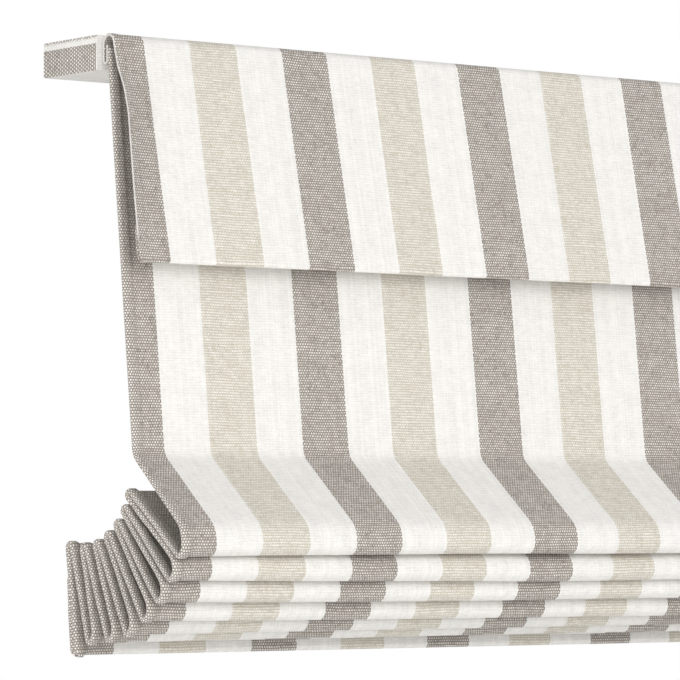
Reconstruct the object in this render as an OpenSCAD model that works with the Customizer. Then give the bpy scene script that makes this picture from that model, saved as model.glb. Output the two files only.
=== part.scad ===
// Roman blind, raised: one striped woven cloth hangs from a fabric covered headrail
// and is gathered in folds by three lift tapes that wind onto spools in the headrail.
// X runs along the blind, +Y points into the wall and +Z up, in millimetres.
// The wall face is Y = 0 and the origin is the middle of the four wall screw holes.

/* [Cloth] */
// Finished width of the cloth
blind_width = 838; // [640:1:1200]
// Thickness of the woven cloth
cloth = 1.6; // [1.2:0.1:1.9]

/* [Headrail] */
// Height of the covered headrail
headrail_height = 32; // [31.5:0.5:40]
// Distance from the wall to the front of the covered headrail
headrail_front = 91; // [88:0.5:110]
// Distance from the wall to the back of the covered headrail
wall_gap = 3; // [1:0.5:6]
// How far each end of the headrail passes the cloth
headrail_overhang = 4; // [4:0.5:12]
// Thickness of the cover cloth
cover = 1; // [0.6:0.1:1.5]
// Wall thickness of the aluminium channel
channel_wall = 1.5; // [1.2:0.1:2]
// Width of the two lips along the channel's open top
lip_width = 8; // [5:0.5:10]
// Height of the lips' turned-down edges
lip_turn = 4; // [2.5:0.5:5]
// Height and width of the ribs along the channel's floor
floor_rib = 1.2; // [0.8:0.1:1.8]
// Distance from the channel's back to the first floor rib
floor_rib_from_back = 12; // [9:0.5:14]
// Spacing of the two floor ribs
floor_rib_pitch = 20; // [16:0.5:22]
// Thickness of an end cap's plate
cap_plate = 2.5; // [2:0.1:2.8]
// Length of an end cap's plug inside the channel
cap_plug = 9; // [5:0.5:14]
// Wall of the plug
cap_wall = 2; // [1.5:0.1:3]
// Spacing of the webs inside the plug
cap_web_pitch = 26; // [20:0.5:28]

/* [Hook and loop tape] */
// Height of both tapes
grip_height = 22; // [15:0.5:24]
// Thickness of each tape
grip = 1.8; // [1.2:0.1:2.4]
// Length that each end of the tapes stops short of the cloth's edge
grip_inset = 3; // [1:0.5:40]
// Distance from the headrail's top to the tapes' top
grip_below = 3; // [1:0.5:6]

/* [Valance] */
// Drop of the valance from the headrail's top
valance_drop = 209; // [150:1:240]
// How far the valance's hem stands in front of its top
valance_flare = 40; // [20:1:45]
// Depth of the cloth roll over the headrail's top edge
valance_roll = 16.5; // [15:0.1:20]
// Height of the turned-under loop behind the roll
header_loop = 27; // [22:0.5:29]
// Depth of the turned-under loop
header_depth = 5.8; // [5:0.1:6.5]
// Distance from the headrail's top to the loop's cut end
loop_end_below = 10; // [8:0.5:14]
// Height of the valance's bottom hem
valance_hem = 30; // [15:1:45]
// Bend radius at the valance's foot, to the middle of the cloth
turn_r = 2; // [1.2:0.1:3]

/* [Flat panel] */
// Drop from the headrail's top to the first bend of the cloth
panel_drop = 370; // [345:1:600]
// Forward lean of the panel from the vertical
panel_lean = 6.5; // [3:0.1:8]
// Distance from the middle of the valance's roll down to the panel's top edge
panel_tuck = 4; // [3:0.5:6]

/* [Folds] */
// Length of the first fold's rear leg
first_fold_leg = 96.5; // [90:0.5:105]
// Length of the last fold's rear leg
last_fold_leg = 90.5; // [86:0.5:105]
// How far the first fold's front stands before the panel's lower end
first_fold_out = 78.5; // [65:0.5:90]
// Drop from the panel's lower end to the bottom of the first fold
first_fold_drop = 101; // [90:0.5:115]
// Angle of the first fold's rear leg from the vertical
first_leg_angle = 58; // [50:0.5:62]
// Angle of the last fold's rear leg from the vertical
last_leg_angle = 24; // [18:0.5:32]
// Step from the first fold's front to the second's
first_step = 25.4; // [23:0.1:30]
// Step between the last two folds' fronts
last_step = 31.5; // [28:0.1:36]
// Downward angle of the first of these steps
first_step_angle = 58; // [52:0.5:64]
// Downward angle of the last of these steps
last_step_angle = 3; // [0:0.5:8]
// Bend radius at a fold's foot, to the middle of the cloth
tip_r = 2.6; // [2:0.1:3.5]
// Bend radius of the round lip above a fold's foot
lip_r = 9; // [6:0.5:12]
// How far a fold's foot is drawn back under its lip
lip_tuck = 5; // [2:0.5:7]
// Straight height between the first fold's lip and the bend above it
first_lip = 3; // [1:0.5:6]
// Straight height between the other folds' lips and the bends above them
lip = 1; // [0.5:0.5:4]
// Bend radius above the first fold's lip
first_knee_r = 24; // [16:0.5:40]
// Bend radius above the other folds' lips
knee_r = 14; // [10:0.5:28]
// Bend radius at the panel's lower end
elbow_r = 16; // [10:0.5:24]
// Straight length of cloth between the panel's lower end and that bend
elbow_lead = 5; // [3:0.5:8]

/* [Bottom hem] */
// Length of the last flap from its rod to the hem
last_flap = 93.5; // [90:0.5:110]
// Lean of the last flap from the vertical
flap_lean = 9; // [7:0.5:12]
// Height of the turned-up hem
hem_height = 66; // [50:1:75]
// Height of the flat bar in the hem
hem_bar_height = 24; // [15:0.5:30]
// Thickness of the flat bar
hem_bar = 3; // [2:0.1:3.2]
// Room between the bar and the hem round it
hem_room = 1.2; // [0.9:0.1:2]

/* [Fold rods and rings] */
// Radius of a fold rod
rod_r = 2.2; // [1.5:0.1:3]
// Distance from a rod's end to the cloth's edge
rod_inset = 12; // [6:1:40]
// Inner diameter of a tape ring
ring_inner = 11; // [10:0.5:14]
// Thickness of a tape ring's wire
ring_wire = 2; // [1.6:0.1:2.6]

/* [Lift tapes] */
// Distance from the cloth's edge to the outer lift tapes
tape_inset = 129; // [123:1:160]
// Width of a lift tape
tape_width = 8; // [6:0.5:9]
// Thickness of a lift tape
tape = 0.4; // [0.3:0.05:0.6]
// Width of a tape stop
stop_width = 14; // [11:0.5:18]
// Height of a tape stop along the tape
stop_height = 7; // [5:0.5:10]
// Wall of a tape stop on each side of the tape
stop_wall = 1.8; // [1.2:0.1:2.4]
// Height above the first ring at which the hanging tape meets the gathered tape
tape_lead = 2; // [1.5:0.1:3]

/* [Spools] */
// Distance from the wall to the lift shaft
shaft_from_wall = 66; // [62:0.5:68]
// Radius of the hexagonal shaft to its corners
shaft_r = 3.2; // [2.5:0.1:3.6]
// How far the shaft passes the outer spools
shaft_proud = 4; // [2:0.5:10]
// Radius of a spool's core
spool_core_r = 7; // [6.5:0.1:8]
// Radius of the tape wound on a spool
wound_r = 11.2; // [9:0.1:11.6]
// Radius of a spool's flanges
flange_r = 12.3; // [12:0.1:12.6]
// Thickness of a flange
flange = 1.5; // [1:0.1:2]
// Number of holes in a flange
flange_holes = 6; // [3:1:8]
// Radius of a hole in a flange
flange_hole_r = 1.5; // [1:0.1:1.7]
// Clearance between the flanges and the channel's floor
flange_clear = 1.2; // [0.8:0.1:1.4]
// Side play of the tape between the flanges
tape_play = 1; // [0.6:0.1:1.6]
// Radius of a spool's bearing hubs
hub_r = 5.5; // [5:0.1:6]
// Length of a bearing hub
hub_length = 5; // [4:0.5:8]
// Thickness of a cradle's cheeks
cheek = 3; // [2:0.1:3.5]
// Thickness of a cradle's base
cradle_base = 2; // [1.5:0.1:2.5]
// Half length of a cradle along the channel's depth
cradle_reach = 20; // [17:0.5:20]
// Half width of a cheek's foot
cheek_foot = 14; // [10:0.5:16]
// Height of a cheek's foot above the cradle's base
cheek_foot_height = 3; // [2:0.5:5]
// Wall of a cheek beside the hub
hub_wall = 3; // [2:0.1:4]
// Half width of a cheek's open mouth, over which the hub snaps in
cheek_mouth = 4.7; // [4:0.1:4.9]
// Length of a tape slot across the channel
slot_depth = 11; // [10:0.5:12]
// Width of a tape slot beside the tape and the collar
slot_play = 3; // [2:0.5:4]
// How far a tape slot's middle stands before the wound tape
slot_forward = 2; // [1:0.1:2.5]
// Edge of a cradle's base before its tape slot
base_margin = 2; // [1:0.5:2.5]
// Wall of the collar that lines a tape slot
collar = 1.2; // [0.8:0.1:1.5]

/* [Spring motor] */
// Length of the spring motor along the shaft
motor_length = 58; // [40:1:70]
// Distance from the middle of the blind to the motor
motor_from_middle = 139; // [110:1:145]
// Depth of the motor's housing
motor_depth = 42; // [38:0.5:44]
// Height of the motor's housing
motor_height = 24; // [22:0.1:24.2]
// Distance of the housing's middle behind the shaft
motor_behind = 2; // [0:0.5:3]
// Corner radius of the housing
motor_corner = 5; // [2:0.5:8]
// Width and depth of the seam between the housing's halves
motor_seam = 0.8; // [0.4:0.1:1.2]
// Distance from the housing's faces to its rivet holes
motor_rivet_inset = 4.5; // [3.5:0.1:5]
// Radius of a rivet hole
motor_rivet_r = 1.4; // [1:0.1:1.8]
// Depth of a rivet hole
motor_rivet_depth = 3; // [2:0.5:8]
// Radius of the motor's turning hub
motor_hub_r = 6.7; // [6:0.1:7.5]
// How far the hub stands out at each end
motor_hub_proud = 3; // [1:0.5:6]

/* [Wall brackets] */
// Spacing of the two brackets
bracket_spacing = 430; // [400:1:460]
// Width of a bracket
bracket_width = 25; // [18:1:36]
// Thickness of a bracket
bracket = 2.5; // [2:0.1:4]
// Length of the arm under the headrail
bracket_arm = 70; // [66:1:74]
// Spacing of the two wall screw holes
wall_hole_pitch = 24; // [18:1:40]
// Distance from the upper wall hole to the headrail
wall_hole_below = 14; // [10:0.5:20]
// Distance from the lower wall hole to the bracket's end
wall_hole_margin = 12; // [8:0.5:20]
// Radius of a wall screw hole
wall_hole_r = 2.5; // [1.5:0.1:3]
// Corner radius of the bracket's plates
bracket_corner = 5; // [2:0.5:8]
// Size of the bracket's corner rib
rib = 9; // [5:0.5:9]
// Thickness of the corner rib
rib_wall = 4; // [2:0.5:6]
// Radius of a headrail screw's shank
screw_r = 1.9; // [1.5:0.1:2.2]
// Radius of a headrail screw's head
screw_head_r = 3.8; // [3:0.1:5]
// Height of a headrail screw's head
screw_head = 2.4; // [1.8:0.1:3]
// Length of the cross recess in a screw's head
recess_length = 3.6; // [2.5:0.1:4.5]
// Width of the cross recess
recess_width = 0.8; // [0.6:0.1:1.2]
// Depth of the cross recess
recess_depth = 1.2; // [0.8:0.1:1.5]
// Distance from the wall to the first headrail screw
screw_from_wall = 26; // [22:0.5:30]
// Spacing of the two headrail screws in a bracket
screw_pitch = 30; // [20:0.5:32]
// Length of a headrail screw inside the channel
screw_inside = 2.5; // [1:0.1:3]

/* [Hidden] */

// Number of gathered folds, one for each rod
folds = 7;

// Clearances: between stacked plies, round running parts, in plugged fits, and overcut of cuts
ply_gap = 0.3;
running = 0.3;
fit = 0.2;
over = 1;
// Degrees of bend per facet of the cloth, and facets of a circle
arc_step = 18;
round_fn = 64;

linen = "#ece7db";
metal = "#c9cbcc";
steel = "#9a9ea2";
moulded = "#e9e9e6";
webbing = "#f4f2ec";
clear_ring = "#dfe3e4";

// Headrail planes
rail_bottom = wall_hole_pitch / 2 + wall_hole_below;
rail_top = rail_bottom + headrail_height;
rail_front = -headrail_front;
rail_back = -wall_gap;
rail_length = blind_width + 2 * headrail_overhang;
channel_front = rail_front + cover;
channel_back = rail_back - cover;
channel_bottom = rail_bottom + cover;
channel_top = rail_top - cover;
channel_length = rail_length - 2 * (cover + cap_plate);
floor_z = channel_bottom + channel_wall;

// Lift shaft and its spools
shaft_y = -shaft_from_wall;
shaft_z = floor_z + flange_r + flange_clear;
tape_spacing = blind_width / 2 - tape_inset;
tape_xs = [-tape_spacing, 0, tape_spacing];
spool_inside = tape_width + tape_play;
spool_width = spool_inside + 2 * flange;
tape_run_r = wound_r + running + tape / 2;

// Tape slot through the channel's floor and the cover
slot_width = tape_width + 2 * (collar + fit) + slot_play;
slot_y = shaft_y - wound_r - slot_forward;

// Plies behind the panel, from the headrail to the room
loop_rear_y = rail_front - 2 * grip - cloth / 2;
loop_front_y = loop_rear_y - header_depth;
panel_y = loop_front_y - cloth - ply_gap;
roll_r = valance_roll / 2;
roll_y = loop_rear_y - roll_r;
roll_z = rail_top - cloth / 2 - roll_r;
panel_top = roll_z - panel_tuck;
panel_bottom = rail_top - panel_drop;
panel_end = [panel_y - (panel_top - panel_bottom) * tan(panel_lean), panel_bottom];
panel_heading = -90 - panel_lean;
rod_pin_r = rod_r + ply_gap + cloth / 2;
hem_pin_r = hem_bar / 2 + hem_room + cloth / 2;
lip_rise = lip_r - tip_r + 2 * ply_gap;

// A pin is [y, z, radius, side]: cloth bends round it, to the left (side 1) or right (side -1)
same_point = 0.001;
function heading(a, b) =
    let(d = [b[0] - a[0], b[1] - a[1]])
    atan2(d[1], d[0]) - asin((b[3] * b[2] - a[3] * a[2]) / norm(d));
function along(h) = [cos(h), sin(h)];
function across(h) = [-sin(h), cos(h)];
function whole_turn(h) = h - 360 * floor(h / 360);
function swing(h1, h2, side) = side > 0 ? whole_turn(h2 - h1) : -whole_turn(h1 - h2);
function middle(pin) = [pin[0], pin[1]];
function bend(pin, h1, h2, offset) =
    let(turn = swing(h1, h2, pin[3]), steps = max(1, ceil(abs(turn) / arc_step)))
    [for (i = [0:steps])
        middle(pin) + (offset - pin[3] * pin[2]) * across(h1 + turn * i / steps)];
function mitre(pin, h1, h2, offset) =
    [middle(pin) + offset * (across(h1) + across(h2)) / (1 + cos(h2 - h1))];
function face(pins, offset) =
    let(last = len(pins) - 1, heads = [for (i = [0:last - 1]) heading(pins[i], pins[i + 1])])
    [for (i = [0:last]) each
        i == 0 ? bend(pins[i], heads[0], heads[0], offset)
        : i == last ? bend(pins[i], heads[last - 1], heads[last - 1], offset)
        : pins[i][2] == 0 ? mitre(pins[i], heads[i - 1], heads[i], offset)
        : bend(pins[i], heads[i - 1], heads[i], offset)];
function flipped(list) = [for (i = [len(list) - 1:-1:0]) list[i]];
function no_repeats(list) =
    [for (i = [0:len(list) - 1])
        if (i == 0 || norm(list[i] - list[max(0, i - 1)]) > same_point) list[i]];
function ply(pins, thick) =
    no_repeats(concat(face(pins, thick / 2), flipped(face(pins, -thick / 2))));

// Fold k, counted from 0 at the top: its corner, the foot and the round lip there, its rod and the knee
function share(first, last, k, count) = first + (last - first) * k / (count - 1);
first_tip = panel_end - [first_fold_out, first_fold_drop];
function step_to(k) =
    share(first_step, last_step, k - 1, folds - 1)
    * along(-share(first_step_angle, last_step_angle, k - 1, folds - 1));
function tip(k) = k == 0 ? first_tip : tip(k - 1) + step_to(k);
function corner(k) = tip(k) + (tip_r + cloth / 2) * [1, 1];
function tip_pin(k) = concat(corner(k) + [lip_tuck, 0], [tip_r, 1]);
function lip_pin(k) = concat(corner(k) + [lip_r - tip_r, lip_rise], [lip_r, 1]);
function leg_heading(k) = 90 - share(first_leg_angle, last_leg_angle, k, folds);
function leg(k) = share(first_fold_leg, last_fold_leg, k, folds);
function rod_pin(k) = concat(corner(k) + leg(k) * along(leg_heading(k)), [rod_pin_r, -1]);
function knee_pin(k) =
    let(r = k == 0 ? first_knee_r : knee_r, rise = lip_rise + (k == 0 ? first_lip : lip))
    concat(corner(k) + [r - tip_r, rise], [r, 1]);
elbow_pin = concat(
    panel_end - elbow_r * across(panel_heading) + elbow_lead * along(panel_heading),
    [elbow_r, -1]
);

// Last flap: hem pin below the last rod, and the end of the turned-up hem behind the flap
flap_heading = -90 - flap_lean;
hem_pin =
    concat(middle(rod_pin(folds - 1)) + (rod_pin_r + hem_pin_r) * across(flap_heading)
        + last_flap * along(flap_heading), [hem_pin_r, 1]);
hem_end =
    middle(hem_pin) + (cloth + 2 * ply_gap - hem_pin_r) * across(flap_heading)
    - hem_height * along(flap_heading);
hem_axis =
    (cloth / 2 + ply_gap - hem_pin_r) * across(flap_heading) - hem_height * along(flap_heading);
hem_bar_heading = atan2(hem_axis[1], hem_axis[0]);

stack_pins = concat(
    [concat(panel_end + ply_gap * along(panel_heading), [0, 0]), elbow_pin],
    [for (k = [0:folds - 1]) each [knee_pin(k), lip_pin(k), tip_pin(k), rod_pin(k)]],
    [hem_pin, concat(hem_end, [0, 0])]
);

// Valance: the loop behind the roll, the roll, the hem's fold, and the hem's end behind the front
header_r = header_depth / 2;
header_pin = [loop_front_y + header_r, rail_top - header_loop + cloth / 2 + header_r, header_r, 1];
roll_pin = [roll_y, roll_z, roll_r, 1];
turn_pin = [roll_y - roll_r - valance_flare, rail_top - valance_drop + turn_r + cloth / 2, turn_r, 1];
valance_heading = heading(roll_pin, turn_pin);
valance_end =
    middle(turn_pin) + (cloth + 2 * ply_gap - turn_r) * across(valance_heading)
    - valance_hem * along(valance_heading);
valance_pins = [
    [loop_front_y, rail_top - loop_end_below, 0, 0],
    header_pin,
    roll_pin,
    turn_pin,
    concat(valance_end, [0, 0])
];

// Tape route: off the front of the wound tape, down to the first ring and through the others
ring_r = (ring_inner + ring_wire) / 2;
ring_outer = ring_r + ring_wire / 2;
function ring_at(k) =
    middle(rod_pin(k)) + (rod_pin_r + cloth / 2 + fit + ring_outer) * along(leg_heading(k));
function ring_pin(k) = concat(ring_at(k), [0, 0]);
function ring_heading(k) = leg_heading(k) - 90;
tail_heading = heading(ring_pin(folds - 2), ring_pin(folds - 1));
tail_angle = abs(ring_heading(folds - 1) - tail_heading);
stop_half = tape / 2 + fit / 2;
stop_lead = ring_wire / 2 / cos(tail_angle) + (stop_half + stop_wall) * tan(tail_angle) + ply_gap;
tape_start = [shaft_y, shaft_z, tape_run_r, 1];
tape_first = concat(ring_at(0) + [0, ring_wire / 2 + tape_lead], [0, 0]);
tape_tail = concat(ring_at(folds - 1) + (stop_lead + stop_height + tape_lead) * along(tail_heading), [0, 0]);
hanging_pins = [tape_start, tape_first];
gathered_pins = concat(
    [concat(middle(tape_first) + ply_gap * along(heading(tape_start, tape_first)), [0, 0])],
    [for (k = [0:folds - 1]) ring_pin(k)],
    [tape_tail]
);

// Section drawn with Y to the right and Z up, extruded along X about the middle
module along_x(length) {
    translate([-length / 2, 0, 0]) rotate([90, 0, 90]) linear_extrude(length) children();
}

module rect(y0, y1, z0, z1) {
    translate([y0, z0]) square([y1 - y0, z1 - z0]);
}

// Rectangle with round corners, built from squares and circles
module round_rect(y0, y1, z0, z1, r) {
    rect(y0 + r, y1 - r, z0, z1);
    rect(y0, y1, z0 + r, z1 - r);
    for (y = [y0 + r, y1 - r], z = [z0 + r, z1 - r]) translate([y, z]) circle(r, $fn = round_fn);
}

// Cylinder along the lift shaft's axis
module shaft_cylinder(r, length, fn = round_fn) {
    translate([-length / 2, shaft_y, shaft_z]) rotate([0, 90, 0]) cylinder(r = r, h = length, $fn = fn);
}

module shaft_bore(length) {
    shaft_cylinder(shaft_r + fit, length, 6);
}

module tape_slots(inset) {
    for (x = tape_xs)
        translate([x - slot_width / 2 + inset, slot_y - slot_depth / 2 + inset, rail_bottom - over])
            cube([slot_width - 2 * inset, slot_depth - 2 * inset, floor_z - rail_bottom + 2 * over]);
}

// Children set under each headrail screw's place on the bracket arms
module at_headrail_screws() {
    for (side = [-1, 1], i = [0, 1])
        translate([side * bracket_spacing / 2, -screw_from_wall - i * screw_pitch, rail_bottom - bracket])
            children();
}

module headrail_screw_holes(r) {
    at_headrail_screws() translate([0, 0, -over])
        cylinder(r = r, h = bracket + cover + channel_wall + 2 * over, $fn = round_fn);
}

// Ribs along the channel's floor, widened by a clearance where they are cut from a plug
module floor_ribs(clear) {
    half = floor_rib / 2 + clear;
    for (i = [0, 1]) let(y = channel_back - floor_rib_from_back - i * floor_rib_pitch)
        rect(y - half, y + half, floor_z - clear, floor_z + floor_rib + clear);
}

// Extrusion with inward lips whose edges turn down
module channel_section() {
    difference() {
        rect(channel_front, channel_back, channel_bottom, channel_top);
        rect(channel_front + channel_wall, channel_back - channel_wall,
            floor_z, channel_top - channel_wall);
        rect(channel_front + lip_width, channel_back - lip_width, floor_z, channel_top + over);
    }
    for (y = [channel_front + lip_width - channel_wall, channel_back - lip_width])
        rect(y, y + channel_wall, channel_top - lip_turn, channel_top);
    floor_ribs(0);
}

module headrail_channel() {
    color(metal) difference() {
        along_x(channel_length) channel_section();
        tape_slots(0);
        headrail_screw_holes(screw_r + fit);
    }
}

module headrail_cover() {
    color(linen) difference() {
        union() {
            along_x(rail_length - 2 * cover) difference() {
                rect(rail_front, rail_back, rail_bottom, rail_top);
                rect(channel_front, channel_back, channel_bottom, channel_top);
                rect(channel_front + lip_width, channel_back - lip_width, channel_bottom, rail_top + over);
            }
            for (side = [-1, 1]) translate([side * (rail_length - cover) / 2, 0, 0])
                along_x(cover) rect(rail_front, rail_back, rail_bottom, rail_top);
        }
        tape_slots(0);
        headrail_screw_holes(screw_r + 2 * fit);
    }
}

// Hollow plug with two webs, below the channel's turned-down lips and notched for its floor ribs
module plug_section() {
    outer = channel_wall + fit;
    inner = outer + cap_wall;
    top = channel_top - lip_turn - fit;
    middle_y = (channel_front + channel_back) / 2;
    difference() {
        rect(channel_front + outer, channel_back - outer, channel_bottom + outer, top);
        rect(channel_front + inner, channel_back - inner, channel_bottom + inner, top - cap_wall);
        floor_ribs(fit);
    }
    for (side = [-1, 1]) let(y = middle_y + side * cap_web_pitch / 2)
        rect(y - cap_wall / 2, y + cap_wall / 2, channel_bottom + inner, top - cap_wall);
}

// Plate over the channel's end with a plug that grips the walls
module end_cap(side) {
    color(moulded) {
        translate([side * (channel_length + cap_plate) / 2, 0, 0])
            along_x(cap_plate) rect(channel_front, channel_back, channel_bottom, channel_top);
        translate([side * (channel_length - cap_plug) / 2, 0, 0]) along_x(cap_plug) plug_section();
    }
}

// Pressed angle: a leg on the wall, an arm under the headrail and a rib in the corner
module wall_bracket(side) {
    leg_bottom = -wall_hole_pitch / 2 - wall_hole_margin;
    arm_z = rail_bottom - bracket;
    color(metal) difference() {
        translate([side * bracket_spacing / 2, 0, 0]) {
            rotate([90, 0, 0]) linear_extrude(bracket) {
                round_rect(-bracket_width / 2, bracket_width / 2, leg_bottom, rail_bottom, bracket_corner);
                rect(-bracket_width / 2, bracket_width / 2, 0, rail_bottom);
            }
            translate([0, 0, arm_z]) linear_extrude(bracket) {
                round_rect(-bracket_width / 2, bracket_width / 2, -bracket_arm, 0, bracket_corner);
                rect(-bracket_width / 2, bracket_width / 2, -bracket_arm / 2, 0);
            }
            along_x(rib_wall) translate([-bracket, arm_z]) polygon([[0, 0], [-rib, 0], [0, -rib]]);
        }
        headrail_screw_holes(screw_r + 2 * fit);
        for (z = [-1, 1]) translate([side * bracket_spacing / 2, over, z * wall_hole_pitch / 2])
            rotate([90, 0, 0]) cylinder(r = wall_hole_r, h = bracket + 2 * over, $fn = round_fn);
    }
}

// Domed head, a cap of a sphere, with a cross recess for the driver
module screw_dome() {
    dome_r = (pow(screw_head_r, 2) + pow(screw_head, 2)) / (2 * screw_head);
    difference() {
        rotate_extrude($fn = round_fn) intersection() {
            translate([0, dome_r - screw_head]) circle(dome_r, $fn = 2 * round_fn);
            rect(0, screw_head_r, -screw_head, 0);
        }
        for (turn = [0, 90]) rotate(turn)
            translate([-recess_length / 2, -recess_width / 2, -screw_head - over])
                cube([recess_length, recess_width, recess_depth + over]);
    }
}

module bracket_screws() {
    shank = bracket + cover + channel_wall + screw_inside;
    color(steel) at_headrail_screws() {
        screw_dome();
        cylinder(r = screw_r, h = shank, $fn = round_fn);
    }
}

// Strip of gripping tape on the headrail's front, as ply 0 or 1 from the headrail
module grip_tape(index) {
    top = rail_top - grip_below;
    color(webbing) along_x(blind_width - 2 * grip_inset)
        rect(rail_front - (index + 1) * grip, rail_front - index * grip, top - grip_height, top);
}

module valance() {
    color(linen) along_x(blind_width) polygon(ply(valance_pins, cloth));
}

module flat_panel() {
    color(linen) along_x(blind_width)
        polygon(ply([[panel_y, panel_top, 0, 0], concat(panel_end, [0, 0])], cloth));
}

module fold_stack() {
    color(linen) along_x(blind_width) polygon(ply(stack_pins, cloth));
}

module hem_bar_section() {
    r = hem_bar / 2;
    for (z = [r, hem_bar_height - r]) translate([0, z]) circle(r, $fn = round_fn);
    rect(-r, r, r, hem_bar_height - r);
}

module hem_bar() {
    color(metal) along_x(blind_width - 2 * rod_inset)
        translate(middle(hem_pin)) rotate(hem_bar_heading - 90)
            translate([0, -hem_bar / 2]) hem_bar_section();
}

module fold_rod(k) {
    at = rod_pin(k);
    color(moulded) translate([-blind_width / 2 + rod_inset, at[0], at[1]]) rotate([0, 90, 0])
        cylinder(r = rod_r, h = blind_width - 2 * rod_inset, $fn = round_fn);
}

// Rings sewn behind the rods, each square to the tape that runs through it
module tape_rings(index) {
    color(clear_ring) for (k = [0:folds - 1])
        translate([tape_xs[index], ring_at(k)[0], ring_at(k)[1]]) rotate([ring_heading(k) - 90, 0, 0])
            rotate_extrude($fn = round_fn)
                translate([ring_r, 0]) circle(ring_wire / 2, $fn = round_fn / 2);
}

module tape_strip(index, pins) {
    color(webbing) translate([tape_xs[index], 0, 0]) along_x(tape_width) polygon(ply(pins, tape));
}

module lift_tape(index) {
    tape_strip(index, hanging_pins);
}

module gathered_tape(index) {
    tape_strip(index, gathered_pins);
}

// Clip on the tape's end that carries the lowest ring
module tape_stop(index) {
    at = ring_at(folds - 1) + stop_lead * along(tail_heading);
    color(moulded) translate([tape_xs[index], at[0], at[1]]) rotate([tail_heading - 90, 0, 0])
        difference() {
            translate([-stop_width / 2, -stop_half - stop_wall, 0])
                cube([stop_width, 2 * (stop_half + stop_wall), stop_height]);
            translate([-tape_width / 2 - fit, -stop_half, -over])
                cube([tape_width + 2 * fit, 2 * stop_half, stop_height + 2 * over]);
        }
}

module wound_tape(index) {
    color(webbing) translate([tape_xs[index], 0, 0]) difference() {
        shaft_cylinder(wound_r, tape_width);
        shaft_cylinder(spool_core_r + fit / 2, tape_width + over);
    }
}

// Flange with a ring of holes between the core and the rim
module spool_flange() {
    hole_circle = (spool_core_r + flange_r) / 2;
    difference() {
        shaft_cylinder(flange_r, flange);
        for (i = [0:flange_holes - 1]) let(turn = 360 * i / flange_holes)
            translate([0, hole_circle * cos(turn), hole_circle * sin(turn)])
                shaft_cylinder(flange_hole_r, flange + over, round_fn / 2);
    }
}

module tape_spool(index) {
    color(moulded) translate([tape_xs[index], 0, 0]) difference() {
        union() {
            shaft_cylinder(spool_core_r, spool_width);
            shaft_cylinder(hub_r, spool_width + 2 * hub_length);
            for (side = [-1, 1]) translate([side * (spool_width - flange) / 2, 0, 0]) spool_flange();
        }
        shaft_bore(spool_width + 2 * hub_length + over);
    }
}

// Cheek with a broad foot and an open mouth, narrower than the hub, at its top
module cheek_section() {
    head = hub_r + hub_wall;
    foot_top = floor_z + cradle_base + cheek_foot_height;
    difference() {
        union() {
            rect(shaft_y - cheek_foot, shaft_y + cheek_foot, floor_z, foot_top);
            polygon([
                [shaft_y - cheek_foot, foot_top],
                [shaft_y + cheek_foot, foot_top],
                [shaft_y + head, shaft_z],
                [shaft_y - head, shaft_z]
            ]);
            rect(shaft_y - head, shaft_y + head, shaft_z, shaft_z + hub_r);
        }
        translate([shaft_y, shaft_z]) circle(hub_r + running, $fn = round_fn);
        rect(shaft_y - cheek_mouth, shaft_y + cheek_mouth, shaft_z, shaft_z + 2 * hub_r);
    }
}

// Base on the channel's floor, two cheeks that carry the spool's hubs, and the slot's collar
module spool_cradle(index) {
    cheek_x = spool_width / 2 + running + cheek / 2;
    half_width = cheek_x + cheek / 2;
    window = spool_width / 2 + running;
    slot_front = slot_y - slot_depth / 2;
    inner_front = slot_front + fit + collar;
    inner_width = slot_width - 2 * (fit + collar);
    color(moulded) translate([tape_xs[index], 0, 0]) {
        difference() {
            union() {
                translate([-half_width, slot_front - base_margin, floor_z])
                    cube([2 * half_width, shaft_y + cradle_reach - slot_front + base_margin, cradle_base]);
                translate([-slot_width / 2 + fit, slot_front + fit, rail_bottom])
                    cube([slot_width - 2 * fit, slot_depth - 2 * fit, floor_z - rail_bottom + cradle_base]);
            }
            translate([-inner_width / 2, inner_front, rail_bottom - over])
                cube([inner_width, slot_depth - 2 * (fit + collar), headrail_height]);
            translate([-window, inner_front, floor_z])
                cube([2 * window, shaft_y + flange_r + running - inner_front, headrail_height]);
        }
        for (side = [-1, 1]) translate([side * cheek_x, 0, 0]) along_x(cheek) cheek_section();
    }
}

module lift_shaft() {
    length = 2 * tape_spacing + spool_width + 2 * (hub_length + shaft_proud);
    color(steel) shaft_cylinder(shaft_r, length, 6);
}

// Outline of the motor's housing, drawn in by an inset
module motor_outline(inset) {
    half = motor_depth / 2 - inset;
    round_rect(shaft_y + motor_behind - half, shaft_y + motor_behind + half,
        floor_z + inset, floor_z + motor_height - inset, motor_corner - inset);
}

// Two halves that meet at a seam, riveted at the corners and open round the hub
module spring_motor() {
    rivet_y = motor_depth / 2 - motor_rivet_inset;
    rivet_zs = [floor_z + motor_rivet_inset, floor_z + motor_height - motor_rivet_inset];
    color(moulded) translate([motor_from_middle, 0, 0]) difference() {
        along_x(motor_length) motor_outline(0);
        along_x(motor_seam) difference() {
            motor_outline(-over);
            motor_outline(motor_seam);
        }
        shaft_cylinder(motor_hub_r + running, motor_length + over);
        for (end = [-1, 1], side = [-1, 1], z = rivet_zs)
            translate([end * motor_length / 2, shaft_y + motor_behind + side * rivet_y, z]) rotate([0, 90, 0])
                cylinder(r = motor_rivet_r, h = 2 * motor_rivet_depth, center = true, $fn = round_fn / 2);
    }
}

module motor_hub() {
    color(steel) translate([motor_from_middle, 0, 0]) difference() {
        shaft_cylinder(motor_hub_r, motor_length + 2 * motor_hub_proud);
        shaft_bore(motor_length + 2 * motor_hub_proud + over);
    }
}

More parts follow.
